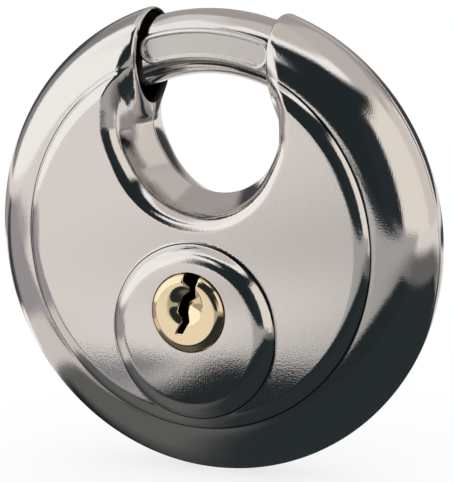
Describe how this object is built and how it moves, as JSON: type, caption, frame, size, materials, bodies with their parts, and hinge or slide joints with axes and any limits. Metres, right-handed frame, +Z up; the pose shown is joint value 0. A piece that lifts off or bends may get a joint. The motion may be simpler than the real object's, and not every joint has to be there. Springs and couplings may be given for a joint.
{
  "type": "disc padlock with shrouded shackle",
  "caption": "Round pressed-steel padlock whose short curved shackle swings inside the disc's rim across a U-shaped throat, turned by a pin-tumbler plug in a raised boss on the front.",
  "frame": {"origin": "middle of the shackle bar at its highest point, on the bar's own centre line, with the lock closed", "axes": "+Z points up from the disc's centre through the shackle; the front with the keyhole faces -Y; +X is to the right seen from the front"},
  "size_m": [0.07, 0.0206, 0.0684],
  "materials": {
    "polished_steel": "stainless sheet, satin-ground faces and buffed edges",
    "shackle_steel": "bright ground bar",
    "plain_steel": "plain stamped steel",
    "spring_steel": "bright drawn wire",
    "cast_zinc": "as-cast zinc alloy, dull grey",
    "brass": "turned brass",
    "plug_brass": "polished brass face"
  },
  "bodies": {
    "root": {"front_shell": "polished_steel", "rear_shell": "polished_steel", "core_block": "cast_zinc", "cylinder_housing": "brass", "chamber_cover": "brass", "pin_spring_1": "spring_steel", "pin_spring_2": "spring_steel", "pin_spring_3": "spring_steel", "pin_spring_4": "spring_steel"},
    "shackle_body": {"shackle": "shackle_steel", "drive_plate": "plain_steel", "plate_rivets": "plain_steel"},
    "plug_body": {"plug": "plug_brass", "crank_disc": "plain_steel", "crank_pin": "plain_steel"},
    "key_pin_1_body": {"key_pin_1": "brass"},
    "key_pin_2_body": {"key_pin_2": "brass"},
    "key_pin_3_body": {"key_pin_3": "brass"},
    "key_pin_4_body": {"key_pin_4": "brass"},
    "driver_pin_1_body": {"driver_pin_1": "brass"},
    "driver_pin_2_body": {"driver_pin_2": "brass"},
    "driver_pin_3_body": {"driver_pin_3": "brass"},
    "driver_pin_4_body": {"driver_pin_4": "brass"}
  },
  "joints": [
    {"name": "shackle_swing", "type": "hinge", "parent": "root", "child": "shackle_body", "pos_m": [0, 0, -0.0287], "axis": [0, 1, 0], "range_deg": [0, 55]},
    {"name": "plug_turn", "type": "hinge", "parent": "root", "child": "plug_body", "pos_m": [0, 0, -0.0384], "axis": [0, 1, 0], "range_deg": [0, 180]},
    {"name": "key_pin_1_slide", "type": "slide", "parent": "plug_body", "child": "key_pin_1_body", "axis": [0, 0, 1], "range_m": [0, 0.001]},
    {"name": "key_pin_2_slide", "type": "slide", "parent": "plug_body", "child": "key_pin_2_body", "axis": [0, 0, 1], "range_m": [0, 0.001]},
    {"name": "key_pin_3_slide", "type": "slide", "parent": "plug_body", "child": "key_pin_3_body", "axis": [0, 0, 1], "range_m": [0, 0.001]},
    {"name": "key_pin_4_slide", "type": "slide", "parent": "plug_body", "child": "key_pin_4_body", "axis": [0, 0, 1], "range_m": [0, 0.001]},
    {"name": "driver_pin_1_slide", "type": "slide", "parent": "root", "child": "driver_pin_1_body", "axis": [0, 0, -1], "range_m": [0, 0.0012], "stiffness_N_per_m": 150, "springref_m": -0.002, "deforming": ["pin_spring_1"]},
    {"name": "driver_pin_2_slide", "type": "slide", "parent": "root", "child": "driver_pin_2_body", "axis": [0, 0, -1], "range_m": [0, 0.0012], "stiffness_N_per_m": 150, "springref_m": -0.002, "deforming": ["pin_spring_2"]},
    {"name": "driver_pin_3_slide", "type": "slide", "parent": "root", "child": "driver_pin_3_body", "axis": [0, 0, -1], "range_m": [0, 0.0012], "stiffness_N_per_m": 150, "springref_m": -0.002, "deforming": ["pin_spring_3"]},
    {"name": "driver_pin_4_slide", "type": "slide", "parent": "root", "child": "driver_pin_4_body", "axis": [0, 0, -1], "range_m": [0, 0.0012], "stiffness_N_per_m": 150, "springref_m": -0.002, "deforming": ["pin_spring_4"]}
  ],
  "couplings": [
    {"joint": "plug_turn", "follows": "shackle_swing", "ratio": 3.2727}
  ]
}
